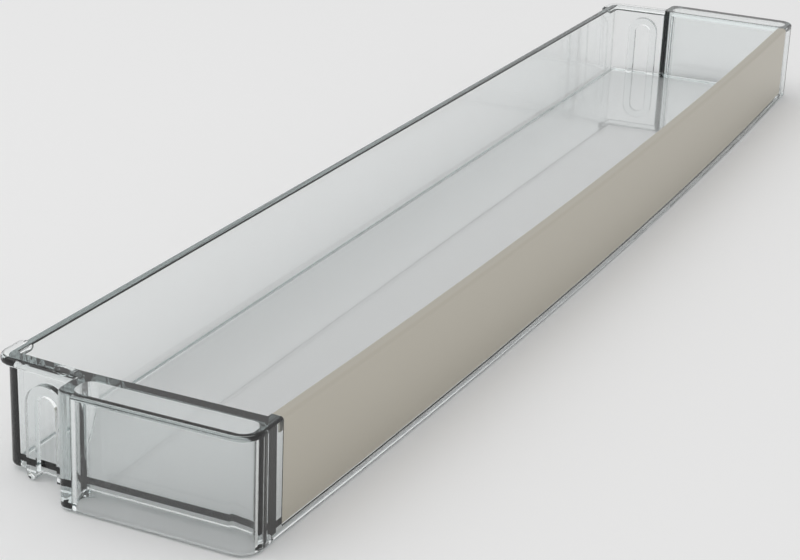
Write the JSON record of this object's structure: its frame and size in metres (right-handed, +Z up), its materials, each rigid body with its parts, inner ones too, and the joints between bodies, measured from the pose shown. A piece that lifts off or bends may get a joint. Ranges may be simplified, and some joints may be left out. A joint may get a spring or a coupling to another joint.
{
  "type": "refrigerator door tray",
  "caption": "Long shallow clear door tray with hollow stepped ends, a lug slot under an arch at each end, and a bowed front covered by a folded metal strip.",
  "frame": {"origin": "middle of the footprint, on the plane that the skirts and the front lip stand on", "axes": "+X along the tray's length, -Y towards the bowed front, +Z up out of the tray's mouth"},
  "size_m": [0.48, 0.0862, 0.032],
  "materials": {
    "clear_plastic": "clear, polished",
    "strip_metal": "satin, pale champagne"
  },
  "bodies": {
    "root": {"tray_body": "clear_plastic", "front_strip": "strip_metal"}
  },
  "joints": []
}
